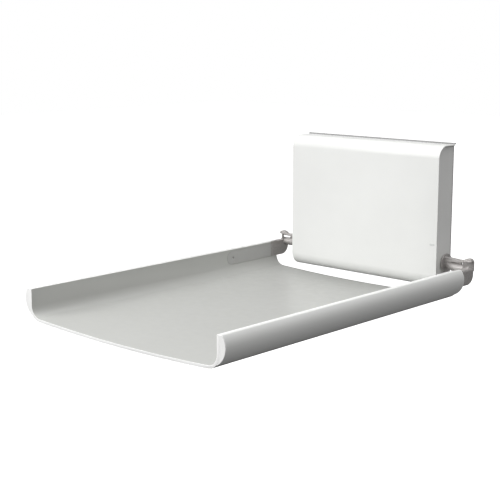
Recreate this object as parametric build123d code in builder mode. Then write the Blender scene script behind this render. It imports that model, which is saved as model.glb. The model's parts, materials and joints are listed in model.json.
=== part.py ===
"""Wall-mounted folding changing table.

A dished tray with two raised side walls hangs on two hinge arms at the sides of a flat wall unit.
The arms sit on one cross shaft that runs through the wall unit, between a pair of bushes.
The tray folds up through 90 degrees in front of the wall unit.  Torsion springs take up its weight,
a rotary damper slows it, and two levers on the shaft meet stops when it is open or folded.

Millimetres.  +Z is up, the wall is the plane Y = 0, and -Y points away from it.
The origin is the centre of the wall unit's four mounting holes, in the plane of the wall.
X = 0 is the plane of symmetry: pieces on the +X side are drawn and mirrored to the -X side.
"""

from build123d import *
from math import sqrt
import os

os.makedirs("parts", exist_ok=True)

# %% Driving dimensions

# Wall unit
case_width = 416.0
case_height = 315.0
case_depth = 64.0
case_top = 132.5
case_bottom = case_top - case_height
top_bend = 28.0
bottom_bend = 31.0
cover_thickness = 3.0
cheek_thickness = 3.0
cheek_inset = 4.5
plate_thickness = 3.0
plate_rise = 3.0
bolt_spacing_x = 320.0
bolt_spacing_z = 180.0
bolt_hole_radius = 4.5

# Tray
rim_z = -130.5
tray_inside = 518.5
tray_front = -805.0
tray_rear = -62.0
sheet_thickness = 6.0
corner_radius = 23.0
floor_depth = 65.3
floor_edge_depth = 57.5
rail_width_max = 560.0
rail_top_width = 542.4
rail_bulge_depth = 21.0
rail_lower_radius = 38.4
rail_inner_end = 257.0
rail_wall = 3.0
cap_thickness = 2.5

# Hinge
axis_y = -22.0
axis_z = rim_z + 1.0
shaft_radius = 6.0
spigot_radius = 5.0
running_gap = 0.04
bush_outer_radius = 8.0
disc_radius = 21.0
tang_height = 33.0
tang_top = -4.1
tang_front = -239.0
lug_width = 18.25

# Places worked out from them
half_inside = tray_inside / 2
half_outside = half_inside + sheet_thickness
half_case = case_width / 2
cheek_outer = half_case - cheek_inset
cheek_inner = cheek_outer - cheek_thickness
plate_front = -plate_thickness
disc_inner = cheek_outer + 1.5
disc_outer = disc_inner + 3.5
lug_outer = half_inside + lug_width


# %% Helpers

def write(piece, name):
    """Label one finished piece and write its STEP file."""
    piece.part.label = name
    export_step(piece.part, f"parts/{name}.step")


def write_pair(piece, name):
    """Write a right-hand piece and its mirror image on the left."""
    write(piece, f"right_{name}")
    with BuildPart() as other:
        mirror(piece.part, about=Plane.YZ)
    write(other, f"left_{name}")


def across(x):
    """The plane X = x, drawn in Y and Z and facing +X."""
    return Plane.YZ.offset(x)


def facing_out(y):
    """The plane Y = y, drawn in X and Z and facing away from the wall."""
    return Plane.XZ.offset(-y)


def pan_head_screw(radius, length, head_radius, head_height):
    """A socket screw on the Z axis: its head stands on Z = 0 and its shank points down."""
    with BuildPart() as screw:
        Cylinder(radius, length, align=(Align.CENTER, Align.CENTER, Align.MAX))
        Cylinder(head_radius, head_height, align=(Align.CENTER, Align.CENTER, Align.MIN))
        fillet(screw.edges().group_by(Axis.Z)[-1], head_height * 0.3)
        with BuildSketch(Plane.XY.offset(head_height)):
            RegularPolygon(head_radius * 0.5, 6)
        extrude(amount=-head_height * 0.6, mode=Mode.SUBTRACT)
    return screw.part


def flat_head_screw(radius, length, head_radius):
    """A countersunk socket screw on the Z axis: its head is flush with Z = 0 and it points down."""
    with BuildPart() as screw:
        Cylinder(radius, length, align=(Align.CENTER, Align.CENTER, Align.MAX))
        Cone(radius, head_radius, head_radius - radius, align=(Align.CENTER, Align.CENTER, Align.MAX))
        with BuildSketch(Plane.XY):
            RegularPolygon(head_radius * 0.5, 6)
        extrude(amount=-(head_radius - radius), mode=Mode.SUBTRACT)
    return screw.part


def grub_screw(radius, length):
    """A headless socket screw on the Z axis, its socket at Z = 0."""
    with BuildPart() as screw:
        Cylinder(radius, length, align=(Align.CENTER, Align.CENTER, Align.MAX))
        with BuildSketch(Plane.XY):
            RegularPolygon(radius * 0.55, 6)
        extrude(amount=-length * 0.5, mode=Mode.SUBTRACT)
    return screw.part


# Turns that point a screw's head away from the wall, or down, or towards the centre plane.
HEAD_OUT = (90, 0, 0)
HEAD_DOWN = (180, 0, 0)
HEAD_INWARD = (0, -90, 0)


# %% Wall unit: the side outline that the cover and the cheeks share

def case_outline(inset, back):
    """Outline in Y and Z, inset from the outer faces, straight at the back and round at the front."""
    front = -case_depth + inset
    low = case_bottom + inset
    high = case_top - inset
    with BuildSketch() as outline:
        with Locations(((front + back) / 2, (low + high) / 2)):
            Rectangle(back - front, high - low)
        corners = outline.vertices().group_by(Axis.X)[0].sort_by(Axis.Y)
        fillet(corners[0], bottom_bend - inset)
        corners = outline.vertices().sort_by(Axis.Y)
        top_front = corners.group_by(Axis.Y)[-1].sort_by(Axis.X)[0]
        fillet(top_front, top_bend - inset)
    return outline.sketch


# %% Wall unit: fixing points on the back plate

screw_radius = 2.0
screw_hole_radius = 2.1
screw_head_radius = 3.6
screw_head_height = 2.2
flange_width = 18.0
bracket_thickness = 3.0
flange_screw_x = cheek_inner - flange_width / 2
flange_screw_z = (case_bottom + 25.0, case_bottom + 140.0, case_top - 25.0)
stop_x = 166.0
stop_screw_offset = 8.5
block_screw_z = axis_z - 24.0
upper_screw_z = axis_z + 32.0
anchor_x = 70.0
anchor_screw_z = axis_z + 33.0
damper_screw_x = 14.0
damper_screw_drop = 29.0

flange_screws = [(flange_screw_x, z) for z in flange_screw_z]
block_screws = [(stop_x - stop_screw_offset, block_screw_z), (stop_x + stop_screw_offset, block_screw_z)]
upper_screws = [(stop_x - stop_screw_offset, upper_screw_z), (stop_x + stop_screw_offset, upper_screw_z)]
anchor_screws = [(anchor_x, anchor_screw_z)]
damper_screws = [(damper_screw_x, axis_z - damper_screw_drop), (damper_screw_x, axis_z + damper_screw_drop)]
one_side_screws = flange_screws + block_screws + upper_screws + anchor_screws + damper_screws
plate_holes = one_side_screws + [(-x, z) for x, z in one_side_screws]

# %% Wall plate: flat back plate, its top strip a little wider and higher than the cover

with BuildPart() as wall_plate:
    with BuildSketch(Plane.XZ):
        with Locations((0, (case_bottom + case_top + plate_rise) / 2)):
            Rectangle(2 * cheek_outer, case_height + plate_rise)
        with Locations((0, case_top + plate_rise / 2)):
            Rectangle(case_width, plate_rise)
        with GridLocations(bolt_spacing_x, bolt_spacing_z, 2, 2):
            Circle(bolt_hole_radius, mode=Mode.SUBTRACT)
        with Locations(*plate_holes):
            Circle(screw_hole_radius, mode=Mode.SUBTRACT)
    extrude(amount=plate_thickness)
write(wall_plate, "wall_plate")

# %% Front cover: one sheet bent round the front, open at the back and at both sides

cover_gap = 0.3
cover_screw_x = cheek_inner - 8.0
cover_screw_y = -20.0
cover_head_radius = 3.8

with BuildPart() as front_cover:
    with BuildSketch(across(-half_case)):
        add(case_outline(0, plate_front - cover_gap))
        add(case_outline(cover_thickness, plate_front + cover_thickness), mode=Mode.SUBTRACT)
    extrude(amount=case_width)
    for end in (front_cover.faces().sort_by(Axis.X)[-1], front_cover.faces().sort_by(Axis.X)[0]):
        fillet(end.edges(), 1.0)
    for side in (-1, 1):
        with Locations(Location((side * cover_screw_x, cover_screw_y, case_bottom), HEAD_DOWN)):
            CounterSinkHole(screw_hole_radius, cover_head_radius, 2 * cover_thickness)
write(front_cover, "front_cover")

# %% Cheeks: side plates set in behind the cover's edges, with a flange for the back plate

cheek_clearance = cover_thickness + cover_gap
shadow_gap = 1.6
tab_length = 22.0

with BuildPart() as cheek:
    with BuildSketch(across(cheek_inner)):
        add(case_outline(cover_thickness + shadow_gap, plate_front))
        with Locations((axis_y, axis_z)):
            Circle(bush_outer_radius, mode=Mode.SUBTRACT)
    extrude(amount=cheek_thickness)
    with BuildSketch(facing_out(plate_front)):
        with Locations((flange_screw_x, (case_bottom + case_top) / 2)):
            Rectangle(flange_width, case_height - 2 * cheek_clearance)
        with Locations(*flange_screws):
            Circle(screw_hole_radius, mode=Mode.SUBTRACT)
    extrude(amount=bracket_thickness)
    with BuildSketch(Plane.XY.offset(case_bottom + cheek_clearance)):
        with Locations((cover_screw_x, cover_screw_y)):
            Rectangle(2 * (cheek_inner - cover_screw_x), tab_length)
            Circle(screw_hole_radius, mode=Mode.SUBTRACT)
    extrude(amount=bracket_thickness)
write_pair(cheek, "cheek")

with BuildPart() as cover_screws:
    for side in (-1, 1):
        with Locations(Location((side * cover_screw_x, cover_screw_y, case_bottom), HEAD_DOWN)):
            add(flat_head_screw(screw_radius, 10.0, cover_head_radius))
write(cover_screws, "cover_screws")

# %% Blank badge: a small plain oval plate near the cover's lower right edge

badge_x = 196.0
badge_z = rim_z + 46.5
badge_length = 13.0
badge_height = 4.0
badge_thickness = 0.6

with BuildPart() as blank_badge:
    with BuildSketch(facing_out(-case_depth)):
        with Locations((badge_x, badge_z)):
            SlotOverall(badge_length, badge_height)
    extrude(amount=badge_thickness)
    fillet(blank_badge.faces().sort_by(Axis.Y)[0].edges(), 0.3)
write(blank_badge, "blank_badge")

# %% Bearings: a flanged bush in each cheek, held by a square block on the inside

block_size = 30.0
block_depth = 5.0
bearing_screw_offset = 10.5
bush_inner = cheek_inner - block_depth
bush_flange_radius = 12.0
bush_flange_thickness = 1.2

with BuildPart() as bearing_block:
    with BuildSketch(across(bush_inner)):
        with Locations((axis_y, axis_z)):
            RectangleRounded(block_size, block_size, 3.0)
            Circle(bush_outer_radius, mode=Mode.SUBTRACT)
            with GridLocations(2 * bearing_screw_offset, 2 * bearing_screw_offset, 2, 2):
                Circle(screw_radius, mode=Mode.SUBTRACT)
    extrude(amount=block_depth)
write_pair(bearing_block, "bearing_block")

with BuildPart() as bush:
    with BuildSketch(across(bush_inner)):
        with Locations((axis_y, axis_z)):
            Circle(bush_outer_radius)
    extrude(amount=cheek_outer - bush_inner)
    with BuildSketch(across(cheek_outer)):
        with Locations((axis_y, axis_z)):
            Circle(bush_flange_radius)
    extrude(amount=bush_flange_thickness)
    with BuildSketch(across(bush_inner)):
        with Locations((axis_y, axis_z)):
            Circle(shaft_radius + running_gap)
    extrude(amount=2 * block_depth + bush_flange_thickness, mode=Mode.SUBTRACT)
write_pair(bush, "bush")

with BuildPart() as bearing_screws:
    for dy in (-bearing_screw_offset, bearing_screw_offset):
        for dz in (-bearing_screw_offset, bearing_screw_offset):
            with Locations(Location((bush_inner, axis_y + dy, axis_z + dz), HEAD_INWARD)):
                add(pan_head_screw(screw_radius, block_depth, screw_head_radius, screw_head_height))
    mirror(about=Plane.YZ)
write(bearing_screws, "bearing_screws")

# %% Cross shaft: it turns with both arms, necked down at its ends and grooved for two rings

spigot_length = 19.0
groove_depth = 0.8
ring_thickness = 1.2
ring_x = bush_inner - 0.4 - ring_thickness
pin_radius = 2.0
pin_x = disc_inner + 9.0
shaft_end = disc_inner

with BuildPart() as cross_shaft:
    with BuildSketch(across(-shaft_end)):
        with Locations((axis_y, axis_z)):
            Circle(shaft_radius)
    extrude(amount=2 * shaft_end)
    for side in (-1, 1):
        with BuildSketch(across(side * shaft_end)):
            with Locations((axis_y, axis_z)):
                Circle(spigot_radius)
        extrude(amount=side * spigot_length)
        with BuildSketch(across(side * ring_x)):
            with Locations((axis_y, axis_z)):
                Circle(shaft_radius + 1.0)
                Circle(shaft_radius - groove_depth, mode=Mode.SUBTRACT)
        extrude(amount=side * ring_thickness, mode=Mode.SUBTRACT)
        with Locations(Location((side * pin_x, axis_y, axis_z), HEAD_OUT)):
            Cylinder(pin_radius, 3 * spigot_radius, mode=Mode.SUBTRACT)
write(cross_shaft, "cross_shaft")

ring_outer_radius = 9.0
ring_gap = 5.0

with BuildPart() as retaining_rings:
    with BuildSketch(across(ring_x)):
        with Locations((axis_y, axis_z)):
            Circle(ring_outer_radius)
            Circle(shaft_radius - groove_depth, mode=Mode.SUBTRACT)
        with Locations((axis_y, axis_z - ring_outer_radius)):
            Rectangle(ring_gap, 2 * ring_outer_radius, mode=Mode.SUBTRACT)
    extrude(amount=ring_thickness)
    mirror(about=Plane.YZ)
write(retaining_rings, "retaining_rings")

# %% Stop levers on the shaft, the blocks behind them and the sprung stops above them

lever_thickness = 12.0
lever_hub_radius = 12.5
lever_reach = 32.0
lever_half_width = 6.0
lever_x = stop_x - lever_thickness / 2
grub_radius = 2.5
grub_length = 6.0

with BuildPart() as stop_lever:
    with BuildSketch(across(lever_x)):
        with Locations((axis_y, axis_z)):
            Circle(lever_hub_radius)
        with Locations((axis_y, axis_z - lever_reach / 2 + lever_half_width / 2)):
            Rectangle(2 * lever_half_width, lever_reach - lever_half_width)
        with Locations((axis_y, axis_z - lever_reach + lever_half_width)):
            Circle(lever_half_width)
        with Locations((axis_y, axis_z)):
            Circle(shaft_radius, mode=Mode.SUBTRACT)
    extrude(amount=lever_thickness)
    with Locations(Location((stop_x, axis_y - lever_hub_radius, axis_z), HEAD_OUT)):
        Hole(grub_radius, lever_hub_radius - shaft_radius)
write_pair(stop_lever, "stop_lever")

stop_gap = 0.4
stop_block_width = 26.0
stop_block_top = axis_z - 16.0
stop_block_bottom = axis_z - 33.0
stop_block_front = axis_y + lever_half_width + stop_gap
counterbore_depth = 3.0

with BuildPart() as stop_block:
    with BuildSketch(facing_out(plate_front)):
        with Locations((stop_x, (stop_block_top + stop_block_bottom) / 2)):
            Rectangle(stop_block_width, stop_block_top - stop_block_bottom)
    extrude(amount=plate_front - stop_block_front)
    for x, z in block_screws:
        with Locations(Location((x, stop_block_front, z), HEAD_OUT)):
            CounterBoreHole(screw_hole_radius, screw_head_radius + 0.2, counterbore_depth)
write_pair(stop_block, "stop_block")

upper_arm_bottom = axis_z + lever_hub_radius + 3.0
upper_arm_front = -52.0
upper_flange_top = upper_screw_z + 8.0
buffer_y = -44.0
buffer_radius = 6.0
buffer_stem_radius = 2.5

with BuildPart() as upper_stop:
    with BuildSketch(facing_out(plate_front)):
        with Locations((stop_x, (upper_arm_bottom + upper_flange_top) / 2)):
            Rectangle(stop_block_width + 4, upper_flange_top - upper_arm_bottom)
        with Locations(*upper_screws):
            Circle(screw_hole_radius, mode=Mode.SUBTRACT)
    extrude(amount=bracket_thickness)
    with BuildSketch(Plane.XY.offset(upper_arm_bottom)):
        with Locations((stop_x, (upper_arm_front + plate_front) / 2)):
            Rectangle(stop_block_width + 4, plate_front - upper_arm_front)
        with Locations((stop_x, buffer_y)):
            Circle(buffer_stem_radius, mode=Mode.SUBTRACT)
    extrude(amount=bracket_thickness)
write_pair(upper_stop, "upper_stop")

with BuildPart() as buffer:
    with BuildSketch(Plane.XY.offset(axis_z + lever_half_width + stop_gap)):
        with Locations((stop_x, buffer_y)):
            Circle(buffer_radius)
    extrude(amount=upper_arm_bottom - axis_z - lever_half_width - stop_gap)
    with BuildSketch(Plane.XY.offset(upper_arm_bottom)):
        with Locations((stop_x, buffer_y)):
            Circle(buffer_stem_radius)
    extrude(amount=bracket_thickness)
write_pair(buffer, "buffer")

# %% Torsion springs round the shaft, their anchors on the plate and their collars on the shaft

spring_mean_radius = 12.0
spring_wire_radius = 1.8
spring_pitch = 5.5
spring_turns = 12
spring_leg = 24.0
spring_start = anchor_x
spring_length = spring_pitch * spring_turns

with BuildPart() as coil_spring:
    with BuildLine():
        coil = Helix(spring_pitch, spring_length, spring_mean_radius, direction=(1, 0, 0), lefthand=True)
    with BuildSketch(Plane(coil @ 0, z_dir=coil % 0)):
        Circle(spring_wire_radius)
    sweep(path=coil, is_frenet=True)
    with BuildSketch(Plane(coil @ 0, z_dir=coil % 0)):
        Circle(spring_wire_radius)
    extrude(amount=-spring_leg)

# Turned so that the fixed leg runs straight up behind the shaft, through the anchor.
with BuildPart() as torsion_spring:
    with Locations(Location((spring_start, axis_y, axis_z), (-90, 0, 0))):
        add(coil_spring.part)
write_pair(torsion_spring, "torsion_spring")

anchor_width = 14.0
anchor_hole_radius = spring_wire_radius + 0.4
spring_leg_lean = 1.4
anchor_front = axis_y + spring_mean_radius - 6.0
anchor_bottom = axis_z + 15.5
anchor_top = anchor_bottom + 8.0

with BuildPart() as spring_anchor:
    with BuildSketch(Plane.XY.offset(anchor_bottom)):
        with Locations((anchor_x, (anchor_front + plate_front) / 2)):
            Rectangle(anchor_width, plate_front - anchor_front)
        with Locations((anchor_x - spring_leg_lean, axis_y + spring_mean_radius)):
            SlotOverall(2 * anchor_hole_radius + 2.0, 2 * anchor_hole_radius, mode=Mode.SUBTRACT)
    extrude(amount=anchor_top - anchor_bottom)
    with BuildSketch(facing_out(plate_front)):
        with Locations((anchor_x, (anchor_top + anchor_screw_z + 7.0) / 2)):
            Rectangle(anchor_width, anchor_screw_z + 7.0 - anchor_top)
        with Locations(*anchor_screws):
            Circle(screw_hole_radius, mode=Mode.SUBTRACT)
    extrude(amount=bracket_thickness)
write_pair(spring_anchor, "spring_anchor")

collar_radius = 17.0
collar_channel_outer = spring_mean_radius + spring_wire_radius + 0.7
collar_channel_inner = spring_mean_radius - spring_wire_radius - 0.7
collar_channel_depth = 8.0
collar_back = 5.0
collar_x = spring_start + spring_length - 1.0

with BuildPart() as spring_collar:
    with BuildSketch(across(collar_x)):
        with Locations((axis_y, axis_z)):
            Circle(collar_radius)
            Circle(shaft_radius, mode=Mode.SUBTRACT)
    extrude(amount=collar_channel_depth + collar_back)
    with BuildSketch(across(collar_x)):
        with Locations((axis_y, axis_z)):
            Circle(collar_channel_outer)
            Circle(collar_channel_inner, mode=Mode.SUBTRACT)
    extrude(amount=collar_channel_depth, mode=Mode.SUBTRACT)
    with Locations(Location((collar_x + collar_channel_depth + collar_back / 2,
                             axis_y - collar_radius, axis_z), HEAD_OUT)):
        Hole(1.5, collar_radius - shaft_radius)
write_pair(spring_collar, "spring_collar")

# %% Rotary damper at the middle of the shaft

damper_half_length = 22.0
damper_height = 36.0
damper_front = -41.0
chamber_radius = 12.5
vane_half_width = 2.0
rotor_radius = 8.0
rotor_half_length = 29.0
damper_cap_radius = 16.0
damper_cap_thickness = 3.0

with BuildPart() as damper_body:
    with BuildSketch(across(-damper_half_length)):
        with Locations(((damper_front + plate_front) / 2, axis_z)):
            Rectangle(plate_front - damper_front, damper_height)
        with Locations((plate_front - bracket_thickness / 2, axis_z)):
            Rectangle(bracket_thickness, 2 * (damper_screw_drop + 7.0))
        with Locations((axis_y, axis_z)):
            Circle(chamber_radius, mode=Mode.SUBTRACT)
        with Locations((axis_y, axis_z + (chamber_radius + rotor_radius + 0.2) / 2)):
            Rectangle(2 * vane_half_width, chamber_radius - rotor_radius + 1.5)
        with Locations((axis_y, axis_z)):
            Circle(rotor_radius + 0.2, mode=Mode.SUBTRACT)
    extrude(amount=2 * damper_half_length)
    for x in (-damper_screw_x, damper_screw_x):
        for z in (axis_z - damper_screw_drop, axis_z + damper_screw_drop):
            with Locations(Location((x, plate_front - bracket_thickness, z), HEAD_OUT)):
                Hole(screw_hole_radius, bracket_thickness)
write(damper_body, "damper_body")

with BuildPart() as damper_cap:
    with BuildSketch(across(damper_half_length)):
        with Locations((axis_y, axis_z)):
            Circle(damper_cap_radius)
            Circle(rotor_radius + running_gap, mode=Mode.SUBTRACT)
    extrude(amount=damper_cap_thickness)
    chamfer(damper_cap.faces().sort_by(Axis.X)[-1].edges().sort_by(SortBy.RADIUS)[-1], 0.8)
write_pair(damper_cap, "damper_cap")

with BuildPart() as damper_rotor:
    with BuildSketch(across(-rotor_half_length)):
        with Locations((axis_y, axis_z)):
            Circle(rotor_radius)
            Circle(shaft_radius, mode=Mode.SUBTRACT)
    extrude(amount=2 * rotor_half_length)
    with BuildSketch(across(-damper_half_length + 0.3)):
        with Locations((axis_y, axis_z - (chamber_radius - 0.3 + shaft_radius + 0.5) / 2)):
            Rectangle(2 * vane_half_width, chamber_radius - 0.3 - shaft_radius - 0.5)
    extrude(amount=2 * damper_half_length - 0.6)
write(damper_rotor, "damper_rotor")

# %% Screws that hold the cheeks, the brackets and the damper to the back plate

with BuildPart() as plate_screws:
    screw = pan_head_screw(screw_radius, plate_thickness + bracket_thickness,
                           screw_head_radius, screw_head_height)
    for x, z in flange_screws + upper_screws + anchor_screws + damper_screws:
        with Locations(Location((x, plate_front - bracket_thickness, z), HEAD_OUT)):
            add(screw)
    long_screw = pan_head_screw(screw_radius, counterbore_depth - stop_block_front - counterbore_depth * 2,
                                screw_head_radius, screw_head_height)
    for x, z in block_screws:
        with Locations(Location((x, stop_block_front + counterbore_depth, z), HEAD_OUT)):
            add(long_screw)
    mirror(about=Plane.YZ)
write(plate_screws, "plate_screws")

with BuildPart() as grub_screws:
    with Locations(Location((stop_x, axis_y - lever_hub_radius, axis_z), HEAD_OUT)):
        add(grub_screw(grub_radius, grub_length))
    with Locations(Location((collar_x + collar_channel_depth + collar_back / 2,
                             axis_y - collar_radius, axis_z), HEAD_OUT)):
        add(grub_screw(1.5, collar_radius - shaft_radius))
    mirror(about=Plane.YZ)
write(grub_screws, "grub_screws")

# %% Tray: the trough section that the sheet and the rails share

def trough(half_width, corner, middle_depth, edge_depth):
    """Filled section of the trough below the rim: straight walls, round corners and a dished floor."""
    with BuildSketch() as section:
        with BuildLine():
            Polyline((-half_width, rim_z - edge_depth), (-half_width, rim_z),
                     (half_width, rim_z), (half_width, rim_z - edge_depth))
            ThreePointArc((half_width, rim_z - edge_depth), (0, rim_z - middle_depth),
                          (-half_width, rim_z - edge_depth))
        make_face()
        low_corners = section.vertices().group_by(Axis.Y)[0]
        fillet(low_corners, corner)
    return section.sketch


inner_trough = trough(half_inside, corner_radius, floor_depth, floor_edge_depth)
outer_trough = trough(half_outside, corner_radius + sheet_thickness,
                      floor_depth + sheet_thickness, floor_edge_depth + sheet_thickness)

tang_round = tang_height / 2
tang_middle = rim_z + tang_top - tang_round


def tang_outline(margin):
    """Side outline of the tang in Y and Z, round at the front and open to the tray's rear end."""
    with BuildSketch() as outline:
        length = tray_rear - tang_front - tang_round
        with Locations((tray_rear - length / 2, tang_middle)):
            Rectangle(length, tang_height - 2 * margin)
        with Locations((tang_front + tang_round, tang_middle)):
            Circle(tang_round - margin)
    return outline.sketch


# %% Tray sheet: floor and side walls in one bent sheet, with a slot in each wall for the tang

edge_round = 0.8
heel_length = 21.0
notch_bottom = tang_middle - tang_round

with BuildPart() as tray_sheet:
    with BuildSketch(facing_out(tray_rear)):
        add(outer_trough)
        add(inner_trough, mode=Mode.SUBTRACT)
    extrude(amount=tray_rear - tray_front)
    fillet(tray_sheet.faces().sort_by(Axis.Y)[0].edges(), edge_round)
    for side in (-1, 1):
        with BuildSketch(across(side * (half_inside - 2.0))):
            add(tang_outline(0))
            with Locations((tray_rear, notch_bottom)):
                Rectangle(heel_length, rim_z + 1.0 - notch_bottom, align=(Align.MAX, Align.MIN))
        extrude(amount=side * (sheet_thickness + 4.0), mode=Mode.SUBTRACT)
write(tray_sheet, "tray_sheet")

# %% Rails: hollow D sections along the outside of the walls, closed by a cap at each end

half_width_max = rail_width_max / 2
half_rail_top = rail_top_width / 2
bulge_z = rim_z - rail_bulge_depth
bulge_over_top = half_width_max - half_rail_top
rail_upper_radius = (bulge_over_top**2 + rail_bulge_depth**2) / (2 * bulge_over_top)
rail_lower_centre_x = half_width_max - rail_lower_radius
rail_foot_z = bulge_z - sqrt(rail_lower_radius**2 - (rail_inner_end - rail_lower_centre_x) ** 2)


def rail_section():
    """Filled D section of the right rail, between the sheet's outer face and the rail's two arcs."""
    with BuildSketch() as section:
        with BuildLine():
            Line((rail_inner_end, rim_z), (half_rail_top, rim_z))
            RadiusArc((half_rail_top, rim_z), (half_width_max, bulge_z), rail_upper_radius)
            RadiusArc((half_width_max, bulge_z), (rail_inner_end, rail_foot_z), rail_lower_radius)
            Line((rail_inner_end, rail_foot_z), (rail_inner_end, rim_z))
        make_face()
        add(outer_trough, mode=Mode.SUBTRACT)
    return section.sketch


def rail_cavity(margin):
    """Hollow of the right rail: a circle's segment beside the wall, drawn inset by margin."""
    with BuildSketch() as section:
        with Locations((half_width_max - rail_upper_radius, bulge_z)):
            Circle(rail_upper_radius - rail_wall - margin)
        with Locations((half_outside + rail_wall + margin, rim_z - rail_wall - margin)):
            Rectangle(rail_upper_radius, 2 * rail_upper_radius, align=(Align.MIN, Align.MAX),
                      mode=Mode.INTERSECT)
    return section.sketch


with BuildPart() as rail:
    with BuildSketch(facing_out(tray_rear - cap_thickness)):
        add(rail_section())
        add(rail_cavity(0), mode=Mode.SUBTRACT)
    extrude(amount=tray_rear - tray_front - 2 * cap_thickness)
write_pair(rail, "rail")

cap_plug_length = 10.0
cap_plug_margin = 0.15

with BuildPart() as front_cap:
    with BuildSketch(facing_out(tray_front + cap_thickness)):
        add(rail_section())
    extrude(amount=cap_thickness)
    fillet(front_cap.faces().sort_by(Axis.Y)[0].edges(), edge_round)
    with BuildSketch(facing_out(tray_front + cap_thickness)):
        add(rail_cavity(cap_plug_margin))
    extrude(amount=-cap_plug_length)
write_pair(front_cap, "rail_front_cap")

with BuildPart() as rear_cap:
    with BuildSketch(facing_out(tray_rear)):
        add(rail_section())
    extrude(amount=cap_thickness)
    fillet(rear_cap.faces().sort_by(Axis.Y)[-1].edges(), edge_round)
    with BuildSketch(facing_out(tray_rear - cap_thickness)):
        add(rail_cavity(cap_plug_margin))
    extrude(amount=cap_plug_length)
write_pair(rear_cap, "rail_rear_cap")

# %% Tang inlays: flush strips over the steel tangs, each with one countersunk screw

inlay_thickness = 2.9
inlay_margin = 0.4
tang_thickness = 3.0
tang_play = 0.15
tang_inner = half_outside - tang_thickness
inlay_screw_y = tang_front + tang_round + 4.0
inlay_head_radius = 4.2

with BuildPart() as tang_inlay:
    with BuildSketch(across(half_inside)):
        add(tang_outline(inlay_margin))
        with Locations((tray_rear - heel_length - inlay_margin, tang_middle)):
            Rectangle(2 * heel_length, tang_height, align=(Align.MIN, Align.CENTER), mode=Mode.SUBTRACT)
    extrude(amount=inlay_thickness)
    fillet(tang_inlay.faces().sort_by(Axis.X)[0].edges(), 0.4)
    with Locations(Location((half_inside, inlay_screw_y, tang_middle), HEAD_INWARD)):
        CounterSinkHole(screw_hole_radius, inlay_head_radius, 2 * inlay_thickness)
write_pair(tang_inlay, "tang_inlay")

with BuildPart() as inlay_screws:
    with Locations(Location((half_inside + 0.1, inlay_screw_y, tang_middle), HEAD_INWARD)):
        add(flat_head_screw(screw_radius, sheet_thickness - 0.2, inlay_head_radius - 0.2))
    mirror(about=Plane.YZ)
write(inlay_screws, "inlay_screws")

# %% Hinge arms: disc, barrel, bar, lug, heel and tang in one casting

lug_top_z = rim_z + 19.5
lug_back_y = -19.0
lug_foot_z = notch_bottom + 0.3
lug_drop = 1.0
lug_corner = 22.0
lug_edge = 5.0
shell_inner_x = half_inside + 1.0
shell_front_y = -40.0
shell_thickness = 4.0
shell_foot_z = rim_z - 8.0
shell_height = 21.5
heel_play = 0.3
bar_front_y = -31.0
bar_back_y = -20.0
bar_top_radius = 7.0
barrel_root_drop = 2.0
barrel_root_radius = 8.5
barrel_middle = (-23.5, rim_z - 3.0)
barrel_middle_radius = 9.3
barrel_middle_x = disc_outer + 10.0
barrel_tip = (-27.0, rim_z - 3.5)
barrel_tip_radius = 7.2
barrel_tip_x = lug_outer - 6.5
web_end = disc_outer + 39.0
web_thickness = 5.0
pocket_radius = 17.5
pocket_depth = 1.6
pocket_top = axis_z - 11.5
groove_radii = (18.3, 19.5)
groove_cut = 0.7
disc_chamfer = 0.6
tang_screw_y = (-182.0, -102.0)
tang_screw_radius = 2.5
tang_root = 4.0

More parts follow.
